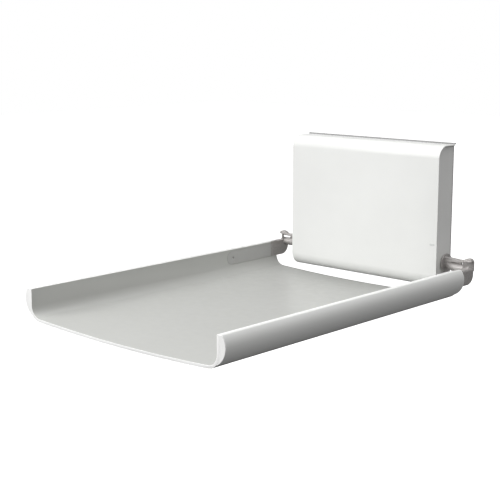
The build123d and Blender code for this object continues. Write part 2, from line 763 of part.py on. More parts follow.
with BuildPart() as hinge_arm:
    # Lug: a block behind the rail's end, its lower rear corner rounded off in one large arc
    with BuildSketch(across(half_inside)) as lug_outline:
        with Locations((tray_rear, lug_foot_z)):
            Rectangle(lug_back_y - tray_rear, rim_z - lug_drop - lug_foot_z, align=(Align.MIN, Align.MIN))
        fillet(lug_outline.vertices().group_by(Axis.X)[-1].sort_by(Axis.Y)[0], lug_corner)
    extrude(amount=lug_width)
    fillet(hinge_arm.faces().sort_by(Axis.X)[-1].edges(), lug_edge)
    # Shell: an upright plate set slantwise on the lug, from the wall of the tray out to the rear
    with BuildSketch(Plane.XY.offset(shell_foot_z)):
        with BuildLine():
            Polyline((shell_inner_x, shell_front_y), (lug_outer, lug_back_y - shell_thickness),
                     (lug_outer, lug_back_y), (lug_outer - shell_thickness, lug_back_y),
                     (shell_inner_x, shell_front_y + shell_thickness), close=True)
        make_face()
    extrude(amount=shell_height)
    # Upper bar, from the disc to the round top of the shell
    with BuildSketch(facing_out(bar_back_y)):
        with BuildLine():
            Polyline((lug_outer, lug_top_z - bar_top_radius), (half_inside + 10.5, rim_z + 11.0),
                     (half_inside, rim_z + 9.0), (disc_outer + 28.0, rim_z + 8.0),
                     (disc_outer, rim_z + 5.0), (disc_outer, rim_z + 15.9),
                     (half_inside - 5.0, rim_z + 13.4), (shell_inner_x, rim_z + 17.8),
                     (half_inside + 7.0, lug_top_z), (lug_outer - bar_top_radius, lug_top_z))
            RadiusArc((lug_outer - bar_top_radius, lug_top_z),
                      (lug_outer, lug_top_z - bar_top_radius), bar_top_radius)
        make_face()
    extrude(amount=bar_back_y - bar_front_y)
    # Disc that turns against the cheek
    with BuildSketch(across(disc_inner)):
        with Locations((axis_y, axis_z)):
            Circle(disc_radius)
    extrude(amount=disc_outer - disc_inner)
    chamfer(hinge_arm.edges().filter_by(GeomType.CIRCLE).sort_by(SortBy.RADIUS)[-1], disc_chamfer)
    with BuildSketch(across(disc_outer)):
        with Locations((axis_y, axis_z)):
            Circle(pocket_radius)
        with Locations((axis_y, pocket_top)):
            Rectangle(2 * disc_radius, disc_radius, align=(Align.CENTER, Align.MAX), mode=Mode.INTERSECT)
    extrude(amount=-pocket_depth, mode=Mode.SUBTRACT)
    with BuildSketch(across(disc_outer)):
        with Locations((axis_y, axis_z)):
            Circle(groove_radii[1])
            Circle(groove_radii[0], mode=Mode.SUBTRACT)
    extrude(amount=-groove_cut, mode=Mode.SUBTRACT)
    # Barrel, swelling out from the disc and running into the lug
    with BuildSketch(across(disc_outer)):
        with Locations((axis_y, axis_z - barrel_root_drop)):
            Circle(barrel_root_radius)
    with BuildSketch(across(barrel_middle_x)):
        with Locations(barrel_middle):
            Circle(barrel_middle_radius)
    with BuildSketch(across(barrel_tip_x)):
        with Locations(barrel_tip):
            Circle(barrel_tip_radius)
    loft()
    # Web between the barrel and the bar
    with BuildSketch(facing_out(bar_back_y)):
        with BuildLine():
            Polyline((disc_outer, axis_z), (disc_outer, rim_z + 8.0),
                     (web_end, rim_z + 9.0), (web_end, rim_z - 2.0), close=True)
        make_face()
    extrude(amount=web_thickness)
    # Heel: fills the notch at the end of the tray's wall, flush with its faces
    with BuildSketch(across(half_inside)):
        with Locations((tray_rear, lug_foot_z)):
            Rectangle(heel_length - heel_play, rim_z - lug_foot_z, align=(Align.MAX, Align.MIN))
    extrude(amount=sheet_thickness - tang_play)
    # Tang in the wall of the tray
    with BuildSketch(across(tang_inner)):
        add(tang_outline(inlay_margin))
        with Locations((tray_rear, tang_middle)):
            Rectangle(tang_root, tang_height - 2 * inlay_margin, align=(Align.MIN, Align.CENTER))
        with Locations(*[(y, tang_middle) for y in tang_screw_y]):
            Circle(tang_screw_radius + 0.1, mode=Mode.SUBTRACT)
        with Locations((inlay_screw_y, tang_middle)):
            Circle(screw_radius, mode=Mode.SUBTRACT)
    extrude(amount=tang_thickness - tang_play)
    # Bore for the shaft's spigot and hole for the pin
    with BuildSketch(across(disc_inner)):
        with Locations((axis_y, axis_z)):
            Circle(spigot_radius)
    extrude(amount=spigot_length, mode=Mode.SUBTRACT)
    with Locations(Location((pin_x, axis_y, axis_z), HEAD_OUT)):
        Cylinder(pin_radius, 3 * spigot_radius, mode=Mode.SUBTRACT)
write_pair(hinge_arm, "hinge_arm")

with BuildPart() as tang_screws:
    for y in tang_screw_y:
        with BuildSketch(across(tang_inner)):
            with Locations((y, tang_middle)):
                Circle(tang_screw_radius)
                RegularPolygon(tang_screw_radius * 0.6, 6, mode=Mode.SUBTRACT)
        extrude(amount=tang_thickness)
    mirror(about=Plane.YZ)
write(tang_screws, "tang_screws")

pin_length = 13.6

with BuildPart() as arm_pins:
    for side in (-1, 1):
        with Locations(Location((side * pin_x, axis_y, axis_z), HEAD_OUT)):
            Cylinder(pin_radius, pin_length)
write(arm_pins, "arm_pins")
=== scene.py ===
# %% [markdown]
# # Dressing a wall-hung changing table
#
# The engineering model already has its sizes: a dished tray on two hinge arms, beside a slim wall unit
# that holds a shaft, springs and a damper.  This lesson gives each piece a surface that fits its job.  It keeps the small machined pieces as they are and gives them a finish, and it makes the
# large bent and cast pieces again with finer curves, because those are what the eye rests on.

# %% Load the model
import json
from math import asin, cos, degrees, pi, radians, sin, sqrt

import bmesh
import bpy
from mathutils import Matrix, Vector


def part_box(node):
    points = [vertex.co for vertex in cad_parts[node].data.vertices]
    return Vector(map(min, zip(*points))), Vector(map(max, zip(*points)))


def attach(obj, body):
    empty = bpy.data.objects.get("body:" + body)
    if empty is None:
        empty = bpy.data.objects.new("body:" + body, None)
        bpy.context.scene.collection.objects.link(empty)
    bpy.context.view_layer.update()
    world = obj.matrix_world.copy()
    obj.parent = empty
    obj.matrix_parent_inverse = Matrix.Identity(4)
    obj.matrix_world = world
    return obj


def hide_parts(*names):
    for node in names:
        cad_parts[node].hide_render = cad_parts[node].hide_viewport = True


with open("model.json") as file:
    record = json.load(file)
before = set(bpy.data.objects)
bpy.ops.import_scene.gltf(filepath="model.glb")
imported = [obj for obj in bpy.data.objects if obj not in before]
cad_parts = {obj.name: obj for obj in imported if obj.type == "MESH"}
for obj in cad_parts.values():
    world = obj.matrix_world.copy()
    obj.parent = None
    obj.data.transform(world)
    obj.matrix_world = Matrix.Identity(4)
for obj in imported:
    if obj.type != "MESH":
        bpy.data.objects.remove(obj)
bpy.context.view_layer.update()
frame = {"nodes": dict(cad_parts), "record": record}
nodes = frame["nodes"]
MM = 0.001

# %% [markdown]
# ## Measures
#
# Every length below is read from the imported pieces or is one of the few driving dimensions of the
# sheet-metal and laminate shapes.  Reading a box is safer than typing a number twice: if the model
# grows, the dressing grows with it.

# %% Measures of the tray and the wall unit
sheet_low, sheet_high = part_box("tray_sheet")
rail_low, rail_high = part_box("right_rail")
cover_low, cover_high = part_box("front_cover")

rim_z = sheet_high.z
tray_front = sheet_low.y
tray_rear = sheet_high.y
half_outside = sheet_high.x
sheet_thickness = 6 * MM
half_inside = half_outside - sheet_thickness
corner_radius = 23 * MM
floor_depth = rim_z - sheet_low.z - sheet_thickness
floor_edge_depth = 57.5 * MM
tang_height = 33 * MM
tang_round = tang_height / 2
tang_drop = 4.1 * MM
tang_middle = rim_z - tang_drop - tang_round
tang_front = -239 * MM
heel_length = 21 * MM
print("tray", round(2 * half_inside, 4), "wide inside,", round(tray_rear - tray_front, 4), "long")

# %% [markdown]
# ## Finishes
#
# A painted or moulded surface is never one flat colour.  Up close it has a faint cloudiness, its gloss
# wanders a little, and its skin carries a fine texture: orange peel on powder coat, a short grain on
# laminate.  One helper builds that layered finish from three noises, and each finish below is one call
# with its own scales.  The coordinates are the object's own, so that nothing slides when a part moves.


# %% A helper that starts a material and one that adds nodes to it
def start_material(name):
    """A new material with a Principled shader; returns the material, its tree and the shader."""
    material = bpy.data.materials.new(name)
    material.use_nodes = True
    tree = material.node_tree
    tree.nodes.clear()
    output = tree.nodes.new("ShaderNodeOutputMaterial")
    shader = tree.nodes.new("ShaderNodeBsdfPrincipled")
    tree.links.new(shader.outputs["BSDF"], output.inputs["Surface"])
    return material, tree, shader


def node(tree, kind, links=None, **settings):
    """Add a node, set its input values and properties by name, and link its inputs."""
    made = tree.nodes.new(kind)
    for key, value in settings.items():
        if key in made.inputs:
            made.inputs[key].default_value = value
        else:
            setattr(made, key, value)
    for key, source in (links or {}).items():
        tree.links.new(source, made.inputs[key])
    return made


def remap(tree, source, low, high):
    """Turn a 0 to 1 value into one between low and high."""
    made = node(tree, "ShaderNodeMapRange", links={"Value": source})
    made.inputs["From Min"].default_value = 0.3
    made.inputs["From Max"].default_value = 0.7
    made.inputs["To Min"].default_value = low
    made.inputs["To Max"].default_value = high
    return made.outputs["Result"]


def noise(tree, place, scale, detail=3.0):
    """A noise on the given coordinates, as many features to the metre as scale says."""
    made = node(tree, "ShaderNodeTexNoise", links={"Vector": place})
    made.inputs["Scale"].default_value = scale
    made.inputs["Detail"].default_value = detail
    return made.outputs["Fac"]


def tone(tree, factor, dark, light):
    """A colour between dark and light."""
    made = node(tree, "ShaderNodeMix", data_type="RGBA", links={"Factor": factor})
    made.inputs[6].default_value = (*dark, 1.0)
    made.inputs[7].default_value = (*light, 1.0)
    return made.outputs[2]


# %% The layered finish
def layered_finish(name, colour, cloud=0.03, gloss=(0.38, 0.5), grain=900.0, depth=0.06, metallic=0.0,
                   stretch=(1.0, 1.0, 1.0)):
    """A finish with cloudy colour, wandering gloss and a fine skin; stretch draws the skin out."""
    material, tree, shader = start_material(name)
    place = node(tree, "ShaderNodeTexCoord").outputs["Object"]
    drawn = node(tree, "ShaderNodeMapping", links={"Vector": place})
    drawn.inputs["Scale"].default_value = stretch
    drawn = drawn.outputs["Vector"]
    dark = [c * (1 - cloud) for c in colour]
    light = [min(1.0, c * (1 + cloud)) for c in colour]
    clouds = noise(tree, place, 9.0)
    skin = noise(tree, drawn, grain, 2.0)
    tree.links.new(tone(tree, remap(tree, clouds, 0.0, 1.0), dark, light), shader.inputs["Base Color"])
    tree.links.new(remap(tree, noise(tree, drawn, 40.0), *gloss), shader.inputs["Roughness"])
    bump = node(tree, "ShaderNodeBump", links={"Height": skin}, Strength=depth, Distance=0.0004)
    tree.links.new(bump.outputs["Normal"], shader.inputs["Normal"])
    shader.inputs["Metallic"].default_value = metallic
    return material


# %% [markdown]
# ## Which piece has which finish
#
# The wall unit's cover is powder-coated sheet, with a soft orange peel.  The cheeks behind its edges are
# the same coat on thicker plate.  The tray is a white laminate with a closed, slightly leathery grain.
# The rails are moulded and smoother.  Inside there are turned steel, zinc-plated brackets, oiled spring
# wire, a die-cast damper, black rubber and dark bearing polymer.

# %% The finishes
white = (0.83, 0.835, 0.82)
finishes = {
    "cover_white": layered_finish("white_powder_coat", white, 0.015, (0.36, 0.46), 700.0, 0.10),
    "cheek_grey": layered_finish("cheek_coat", (0.86, 0.86, 0.845), 0.02, (0.40, 0.52), 650.0, 0.12),
    "rail_white": layered_finish("rail_moulding", white, 0.012, (0.30, 0.40), 1500.0, 0.04),
    # The inlay's grey is painted shade, as on the tray's faces, together with its own slightly darker tone.
    "inlay_grey": layered_finish("inlay_own_tone_and_painted_shade", (0.46, 0.46, 0.45), 0.02, (0.38, 0.48), 1500.0, 0.08),
    # The wall plate is coloured a dark grey.
    "plate_steel": layered_finish("dark_grey_plate", (0.32, 0.32, 0.32), 0.06, (0.5, 0.62), 500.0, 0.15),
    "badge_grey": layered_finish("badge_coat", (0.66, 0.67, 0.66), 0.02, (0.28, 0.36), 900.0, 0.04),
    "rubber_black": layered_finish("black_rubber", (0.022, 0.022, 0.023), 0.2, (0.6, 0.8), 1200.0, 0.4),
    "bush_polymer": layered_finish("bearing_polymer", (0.05, 0.05, 0.052), 0.1, (0.4, 0.5), 1400.0, 0.1),
    "damper_alloy": layered_finish("die_cast_alloy", (0.55, 0.56, 0.57), 0.08, (0.36, 0.5), 420.0, 0.35,
                                   metallic=1.0),
    "spring_steel": layered_finish("oiled_spring_wire", (0.16, 0.16, 0.17), 0.15, (0.22, 0.4), 900.0,
                                   0.15, metallic=1.0),
    "bright_steel": layered_finish("turned_steel", (0.62, 0.61, 0.60), 0.05, (0.2, 0.34), 2200.0, 0.25,
                                   metallic=1.0, stretch=(1.0, 0.06, 0.06)),
    "zinc_steel": layered_finish("zinc_plate", (0.60, 0.61, 0.60), 0.1, (0.3, 0.45), 300.0, 0.12,
                                 metallic=1.0),
}


# %% [markdown]
# ### White laminate with painted shade on its faces and painted light on its edges
#
# The tray is cut from one bent board with satin faces.  Its faces get a darker grey, which is painted shade.
# Wherever the board was cut, at the rim and at the two ends, it gets a bright white, which is painted light, and is
# a touch duller.  The board's cut edges all lie within a millimetre of three planes, so a mask made from the
# object's own coordinates finds them, whatever the mesh looks like.

# %% The laminate
def laminate_finish(name, face, lit_edge_colour):
    """A satin laminate with painted shade on its faces and painted light on its rim and ends."""
    material, tree, shader = start_material(name)
    place = node(tree, "ShaderNodeTexCoord").outputs["Object"]
    parts = node(tree, "ShaderNodeSeparateXYZ", links={"Vector": place})
    edge = 0.7 * MM

    def past(value, limit, operation):
        made = node(tree, "ShaderNodeMath", operation=operation)
        tree.links.new(value, made.inputs[0])
        made.inputs[1].default_value = limit
        return made.outputs[0]

    masks = [past(parts.outputs["Z"], rim_z - edge, "GREATER_THAN"),
             past(parts.outputs["Y"], tray_front + edge, "LESS_THAN"),
             past(parts.outputs["Y"], tray_rear - edge, "GREATER_THAN")]
    cut = masks[0]
    for mask in masks[1:]:
        both = node(tree, "ShaderNodeMath", operation="MAXIMUM")
        tree.links.new(cut, both.inputs[0])
        tree.links.new(mask, both.inputs[1])
        cut = both.outputs[0]

    clouds = remap(tree, noise(tree, place, 7.0), 0.0, 1.0)
    faces = tone(tree, clouds, [c * 0.985 for c in face], [c * 1.01 for c in face])
    colour = node(tree, "ShaderNodeMix", data_type="RGBA", links={"Factor": cut})
    tree.links.new(faces, colour.inputs[6])
    # The cut edges get the bright colour: painted light on the rim and ends.
    colour.inputs[7].default_value = (*lit_edge_colour, 1.0)
    tree.links.new(colour.outputs[2], shader.inputs["Base Color"])

    gloss = remap(tree, noise(tree, place, 60.0), 0.30, 0.40)
    dulled = node(tree, "ShaderNodeMath", operation="MULTIPLY_ADD")
    tree.links.new(cut, dulled.inputs[0])
    dulled.inputs[1].default_value = 0.2
    tree.links.new(gloss, dulled.inputs[2])
    tree.links.new(dulled.outputs[0], shader.inputs["Roughness"])

    cells = node(tree, "ShaderNodeTexVoronoi", links={"Vector": place}, feature="SMOOTH_F1")
    cells.inputs["Scale"].default_value = 620.0
    bump = node(tree, "ShaderNodeBump", links={"Height": cells.outputs["Distance"]}, Strength=0.05,
                Distance=0.0003)
    tree.links.new(bump.outputs["Normal"], shader.inputs["Normal"])
    return material


# The grey face colour is painted shade; the bright edge colour is painted light.
finishes["tray_white"] = laminate_finish("laminate_painted_light_shade", (0.515, 0.52, 0.50), (0.93, 0.93, 0.92))


# %% [markdown]
# ### Brushed casting
#
# The hinge arms look like brushed castings.  A belt run lengthways over such a piece leaves fine lines
# along the arm, which catch light as long soft streaks.  Stretching a noise a hundredfold along X
# gives the lines; a second, broader noise lets them fade in and out.

# %% The brushed steel of the arms
def brushed_finish(name, colour):
    """Warm grey steel with long scratches along X."""
    material, tree, shader = start_material(name)
    place = node(tree, "ShaderNodeTexCoord").outputs["Object"]
    drawn = node(tree, "ShaderNodeMapping", links={"Vector": place})
    drawn.inputs["Scale"].default_value = (0.03, 1.0, 1.0)
    lines = noise(tree, drawn.outputs["Vector"], 2600.0, 4.0)
    broad = noise(tree, drawn.outputs["Vector"], 420.0, 2.0)
    tree.links.new(tone(tree, remap(tree, broad, 0.0, 1.0), [c * 0.72 for c in colour], colour),
                   shader.inputs["Base Color"])
    tree.links.new(remap(tree, lines, 0.56, 0.72), shader.inputs["Roughness"])
    bump = node(tree, "ShaderNodeBump", links={"Height": lines}, Strength=0.22, Distance=0.0003)
    tree.links.new(bump.outputs["Normal"], shader.inputs["Normal"])
    shader.inputs["Metallic"].default_value = 0.7
    return material


finishes["arm_steel"] = brushed_finish("brushed_casting", (0.58, 0.558, 0.545))
cap_finish = layered_finish("cap_moulding", (0.93, 0.93, 0.92), 0.01, (0.34, 0.44), 1500.0, 0.04)
print(len(finishes), "finishes")

# %% [markdown]
# ## Finish the pieces that stay
#
# The record says which finish slot each piece has.  Assigning the new material to the slot of each
# piece's mesh dresses it without touching its shape.

# %% Assign the finishes
slot_of = {part["node"]: part["material_slot"] for part in frame["record"]["subparts"]}
for name, piece in nodes.items():
    is_rail_cap = name.endswith("_cap") and "rail" in name
    for place in piece.material_slots:
        place.material = cap_finish if is_rail_cap else finishes[slot_of[name]]
print("dressed", len(nodes), "pieces")

# %% [markdown]
# ## A Geometry Nodes tree for prismatic pieces
#
# The board, the rails and the cover have one thing in common: each is a flat section pushed along a
# straight line.  One node tree can make them all.  It fills a flat outline, extrudes it, closes the
# back, and turns it to its place, so a piece is described by its outline and three inputs.


# %% The tree
def prism_tree():
    """Fill a flat outline, extrude it by Length, then turn and move it."""
    tree = bpy.data.node_groups.new("prism", "GeometryNodeTree")
    face = tree.interface
    face.new_socket("Outline", in_out="INPUT", socket_type="NodeSocketGeometry")
    face.new_socket("Length", in_out="INPUT", socket_type="NodeSocketFloat")
    face.new_socket("Turn", in_out="INPUT", socket_type="NodeSocketRotation")
    face.new_socket("Place", in_out="INPUT", socket_type="NodeSocketVector")
    face.new_socket("Finish", in_out="INPUT", socket_type="NodeSocketMaterial")
    face.new_socket("Piece", in_out="OUTPUT", socket_type="NodeSocketGeometry")
    given = tree.nodes.new("NodeGroupInput")
    fill = tree.nodes.new("GeometryNodeFillCurve")
    fill.mode = "NGONS"
    push = tree.nodes.new("GeometryNodeExtrudeMesh")
    push.inputs["Individual"].default_value = False
    back = tree.nodes.new("GeometryNodeFlipFaces")
    join = tree.nodes.new("GeometryNodeJoinGeometry")
    weld = tree.nodes.new("GeometryNodeMergeByDistance")
    weld.inputs["Distance"].default_value = 1e-6
    move = tree.nodes.new("GeometryNodeTransform")
    real = tree.nodes.new("GeometryNodeRealizeInstances")
    dress = tree.nodes.new("GeometryNodeSetMaterial")
    result = tree.nodes.new("NodeGroupOutput")
    link = tree.links.new
    link(given.outputs["Outline"], fill.inputs["Curve"])
    link(fill.outputs["Mesh"], push.inputs["Mesh"])
    link(given.outputs["Length"], push.inputs["Offset Scale"])
    link(fill.outputs["Mesh"], back.inputs["Mesh"])
    link(push.outputs["Mesh"], join.inputs["Geometry"])
    link(back.outputs["Mesh"], join.inputs["Geometry"])
    link(join.outputs["Geometry"], weld.inputs["Geometry"])
    link(weld.outputs["Geometry"], move.inputs["Geometry"])
    link(given.outputs["Turn"], move.inputs["Rotation"])
    link(given.outputs["Place"], move.inputs["Translation"])
    link(move.outputs["Geometry"], real.inputs["Geometry"])
    link(real.outputs["Geometry"], dress.inputs["Geometry"])
    link(given.outputs["Finish"], dress.inputs["Material"])
    link(dress.outputs["Geometry"], result.inputs["Piece"])
    return tree


prism = prism_tree()
ALONG_Y = (pi / 2, 0.0, 0.0)
ALONG_X = (pi / 2, 0.0, pi / 2)


# %% Helpers that draw an outline, run the tree and bake the result
def arc(centre, radius, start, end, steps):
    """Points on an arc, angles in degrees, both ends included."""
    angles = [radians(start + (end - start) * i / steps) for i in range(steps + 1)]
    return [(centre[0] + radius * cos(a), centre[1] + radius * sin(a)) for a in angles]


def outline_curve(name, loops):
    """A flat curve object with one closed poly spline for each loop of points."""
    curve = bpy.data.curves.new(name, "CURVE")
    curve.dimensions = "2D"
    curve.fill_mode = "NONE"
    for loop in loops:
        spline = curve.splines.new("POLY")
        spline.points.add(len(loop) - 1)
        for point, (u, v) in zip(spline.points, loop):
            point.co = (u, v, 0.0, 1.0)
        spline.use_cyclic_u = True
    piece = bpy.data.objects.new(name, curve)
    bpy.context.collection.objects.link(piece)
    return piece


def give_tree(piece, tree, **inputs):
    """Put a Geometry Nodes tree on a piece and set its inputs by their socket identifiers."""
    modifier = piece.modifiers.new(tree.name, "NODES")
    modifier.node_group = tree
    for item in tree.interface.items_tree:
        if item.in_out == "INPUT" and item.name in inputs:
            modifier[item.identifier] = inputs[item.name]
    return modifier


def bake(piece, smooth_angle=32.0):
    """Replace a piece by a plain mesh of what its modifiers make, smooth but for its sharp edges."""
    bpy.context.view_layer.update()
    made = piece.evaluated_get(bpy.context.evaluated_depsgraph_get())
    mesh = bpy.data.meshes.new_from_object(made)
    name = piece.name
    bpy.data.objects.remove(piece)
    mesh.name = name
    baked = bpy.data.objects.new(name, mesh)
    bpy.context.collection.objects.link(baked)
    mesh.shade_smooth()
    mesh.set_sharp_from_angle(angle=radians(smooth_angle))
    return baked


def make_prism(name, loops, length, turn, place, finish):
    """A closed piece pushed along a line from its outline."""
    drawn = outline_curve(name, loops)
    give_tree(drawn, prism, Length=length, Turn=turn, Place=place, Finish=finish)
    return bake(drawn)


def soften(piece, width, segments=3, angle=40.0):
    """Round the sharp edges of a piece, then bake it."""
    bevel = piece.modifiers.new("soft_edges", "BEVEL")
    bevel.width = width
    bevel.segments = segments
    bevel.limit_method = "ANGLE"
    bevel.angle_limit = radians(angle)
    bevel.harden_normals = False
    return bake(piece)


def settle(piece, body, slot, *replaced):
    """Give a finished piece its body and hide the CAD nodes that it stands for; slot is not used."""
    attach(piece, body)
    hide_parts(*replaced)
    print(piece.name, len(piece.data.polygons), "faces")


# %% [markdown]
# ## The tray's board
#
# The board is taken as 6 mm thick.  It comes down from the rim, turns through a tight round corner, and runs
# across in a very shallow dish that keeps a child from rolling.  The dish is an arc of a huge circle,
# so the corner arc has to be tangent to the wall on one side and to that circle on the other.  A little
# geometry finds where: the corner's centre is one corner radius in from the wall, and it lies on a
# circle that is one corner radius smaller than the dish.

# %% The board's section
dish_rise = floor_depth - floor_edge_depth
dish_radius = (half_inside**2 + dish_rise**2) / (2 * dish_rise)
dish_centre = rim_z - floor_depth + dish_radius


corner_steps = 14
dish_steps = 40


def trough_line(offset):
    """Points of the board's face from the right rim to the left rim, offset outwards."""
    corner = corner_radius + offset
    centre_x = half_inside - corner_radius
    centre_z = dish_centre - sqrt((dish_radius - corner_radius) ** 2 - centre_x**2)
    lean = degrees(asin(centre_x / (dish_radius - corner_radius)))
    right = [(half_inside + offset, rim_z)]
    right += arc((centre_x, centre_z), corner, 0.0, -90.0 + lean, corner_steps)
    dish = arc((0.0, dish_centre), dish_radius + offset, -90.0 + lean, -90.0 - lean, dish_steps)
    left = [(-x, z) for x, z in reversed(right)]
    return right + dish[1:-1] + left


board_section = trough_line(0.0) + list(reversed(trough_line(sheet_thickness)))
board = make_prism("tray_board", [board_section], tray_rear - tray_front, ALONG_Y,
                   (0.0, tray_rear, 0.0), finishes["tray_white"])
print("dish radius", round(dish_radius, 3), "m")

# %% [markdown]
# Each side wall has a long slot, round at the front, that takes the hinge arm's tang and the inlay over
# it, and a notch at the rear for the arm's heel.  Booleans with prisms of those outlines cut them, and
# a bevel then breaks every cut edge.  Boards are usually eased like this, and the thin bright line of
# an eased edge is most of what makes a cut board look real.


# %% Cut the tang slots and ease the edges
overrun = 5 * MM
cutter_length = 12 * MM
board_edge = 0.7 * MM


def tang_loop():
    """The tang's side outline in Y and Z: straight at the rear, half round at the front."""
    nose = arc((tang_front + tang_round, tang_middle), tang_round, 90.0, 270.0, 24)
    back = tray_rear + overrun
    return nose + [(back, tang_middle - tang_round), (back, tang_middle + tang_round)]


def notch_loop():
    """The notch for the arm's heel, open to the rear and to the rim."""
    low = tang_middle - tang_round
    front = tray_rear - heel_length
    back = tray_rear + overrun
    return [(front, low), (back, low), (back, rim_z + overrun), (front, rim_z + overrun)]


def cut_away(piece, cutter):
    """Cut one piece with another, and throw the cutter away."""
    cut = piece.modifiers.new("cut", "BOOLEAN")
    cut.object = cutter
    cut.operation = "DIFFERENCE"
    cut.solver = "EXACT"
    piece = bake(piece)
    bpy.data.objects.remove(cutter)
    return piece


for side in (-1, 1):
    start = (side * (half_inside + sheet_thickness / 2) - cutter_length / 2, 0.0, 0.0)
    for loop in (tang_loop(), notch_loop()):
        cutter = make_prism("slot_cutter", [loop], cutter_length, ALONG_X, start,
                            finishes["tray_white"])
        board = cut_away(board, cutter)
board = soften(board, board_edge)
settle(board, "tray", "tray_white", "tray_sheet")

# %% [markdown]
# ## The side rails
#
# Each rail is a hollow moulding with a D section.  Its outside is two arcs that meet at the widest
# point with a shared vertical tangent: a tight one above and a slacker one below, which gives the rail
# its heavy-bottomed look.  Inside it hugs the board.  The hollow is a second closed loop in the same
# outline, and the fill node leaves it open because it lies inside the first.

# %% The rails
rail_front = rail_low.y
rail_back = rail_high.y
rail_edge = rail_high.x
over_top = 8.8 * MM
bulge_depth = 21 * MM
rail_bulge_z = rim_z - bulge_depth
rail_lower_radius = 38.4 * MM
rail_foot_x = rail_low.x
rail_wall = 3 * MM
rail_upper_radius = (over_top**2 + bulge_depth**2) / (2 * over_top)


def rail_loops():
    """The right rail's outline and its hollow, in X and Z."""
    upper = (rail_edge - rail_upper_radius, rail_bulge_z)
    lower = (rail_edge - rail_lower_radius, rail_bulge_z)
    top_angle = degrees(asin(bulge_depth / rail_upper_radius))
    foot_drop = sqrt(rail_lower_radius**2 - (rail_foot_x - lower[0]) ** 2)
    foot_angle = -degrees(asin(foot_drop / rail_lower_radius))
    shape = arc(upper, rail_upper_radius, top_angle, 0.0, 16)
    shape += arc(lower, rail_lower_radius, 0.0, foot_angle, 24)[1:]
    hug = [p for p in trough_line(sheet_thickness)[:corner_steps + 1] if p[0] > rail_foot_x + 0.1 * MM]
    shape += [(x, z) for x, z in reversed(hug)]
    hollow_radius = rail_upper_radius - rail_wall
    left = half_outside + rail_wall
    reach = sqrt(hollow_radius**2 - (left - upper[0]) ** 2)
    swing = degrees(asin((bulge_depth - rail_wall) / hollow_radius))
    hollow = arc(upper, hollow_radius, swing, -degrees(asin(reach / hollow_radius)), 20)
    hollow += [(left, rim_z - rail_wall)]
    return [shape, hollow]


for side, label in ((1, "right"), (-1, "left")):
    loops = [[(side * x, z) for x, z in loop] for loop in rail_loops()]
    rail = make_prism(f"{label}_side_rail", loops, rail_back - rail_front, ALONG_Y,
                      (0.0, rail_back, 0.0), finishes["rail_white"])
    settle(rail, "tray", "rail_white", f"{label}_rail")

# %% [markdown]
# ## The wall unit's cover
#
# The cover is made as 3 mm sheet, bent round large radii above and below.  The two bends differ: the top one
# is a little tighter.  The outline runs along the outside and returns along the inside, with the
# inner radii one thickness smaller, as a real bend has.

# %% The cover
cover_thickness = 3 * MM
cover_edge = 0.8 * MM
top_bend = 28 * MM
bottom_bend = 31 * MM
cover_back = cover_high.y


def cover_line(inset):
    """Points along one face of the cover in Y and Z, from the top at the back to the bottom."""
    front = cover_low.y + inset
    high = cover_high.z - inset
    low = cover_low.z + inset
    upper = top_bend - inset
    lower = bottom_bend - inset
    line = [(cover_back, high)]
    line += arc((front + upper, high - upper), upper, 90.0, 180.0, 24)
    line += arc((front + lower, low + lower), lower, 180.0, 270.0, 24)
    return line + [(cover_back, low)]


cover_section = cover_line(0.0) + list(reversed(cover_line(cover_thickness)))
cover = make_prism("wall_unit_cover", [cover_section], cover_high.x - cover_low.x, ALONG_X,
                   (cover_low.x, 0.0, 0.0), finishes["cover_white"])
cover = soften(cover, cover_edge)

# %% [markdown]
# Two countersunk screws hold the cover's lower edge.  Their holes are cut with cones, made as a
# bmesh circle pair, at the places of the screws themselves.


# %% Cut the cover's screw holes
def cone_cutter(name, centre, radius_low, radius_high, height):
    """A cone along Z with its lower end at centre."""
    mesh = bpy.data.meshes.new(name)
    shape = bmesh.new()
    bmesh.ops.create_cone(shape, cap_ends=True, segments=32, radius1=radius_low, radius2=radius_high,
                          depth=height)
    bmesh.ops.translate(shape, vec=Vector(centre) + Vector((0, 0, height / 2)), verts=shape.verts)
    shape.to_mesh(mesh)
    shape.free()
    piece = bpy.data.objects.new(name, mesh)
    bpy.context.collection.objects.link(piece)
    return piece


screw_low, screw_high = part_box("cover_screws")
screw_x = screw_high.x - 3.8 * MM
screw_y = (screw_low.y + screw_high.y) / 2
for side in (-1, 1):
    cutter = cone_cutter("screw_cutter", (side * screw_x, screw_y, cover_low.z - 0.2 * MM),
                         4.0 * MM, 0.5 * MM, 3.6 * MM)
    cover = cut_away(cover, cutter)
settle(cover, "wall_unit", "cover_white", "front_cover")

# %% [markdown]
# ## The hinge arms
#
# The arms are taken to be castings, and a casting has no sharp edge anywhere: the mould needs draft and every
# inside corner is filled.  The quickest honest way to that look is to take the machined shape, rebuild
# its skin from small cubes with a voxel remesh, and let a smoothing pass relax it.  Corners round off
# by about a millimetre while large faces stay where they are.

# %% Cast skins for the arms
for label in ("left", "right"):
    source = nodes[f"{label}_hinge_arm"]
    mesh = source.data.copy()
    shape = bmesh.new()
    shape.from_mesh(mesh)
    bmesh.ops.remove_doubles(shape, verts=shape.verts, dist=1e-6)
    shape.to_mesh(mesh)
    shape.free()
    casting = bpy.data.objects.new(f"{label}_arm_casting", mesh)
    bpy.context.collection.objects.link(casting)
    skin = casting.modifiers.new("skin", "REMESH")
    skin.mode = "VOXEL"
    skin.voxel_size = 0.75 * MM
    relax = casting.modifiers.new("relax", "SMOOTH")
    relax.factor = 0.6
    relax.iterations = 5
    casting = bake(casting, 60.0)
    casting.data.materials.clear()
    casting.data.materials.append(finishes["arm_steel"])
    settle(casting, "tray", "arm_steel", f"{label}_hinge_arm")

# %% [markdown]
# ## The torsion springs
#
# A spring is the textbook case for a path and a profile: a small circle swept along a helix.  The tree
# below does the sweep for any path.  The path itself starts with the fixed leg, which stands straight up
# behind the shaft and passes through its anchor, and then winds round the shaft to the collar.

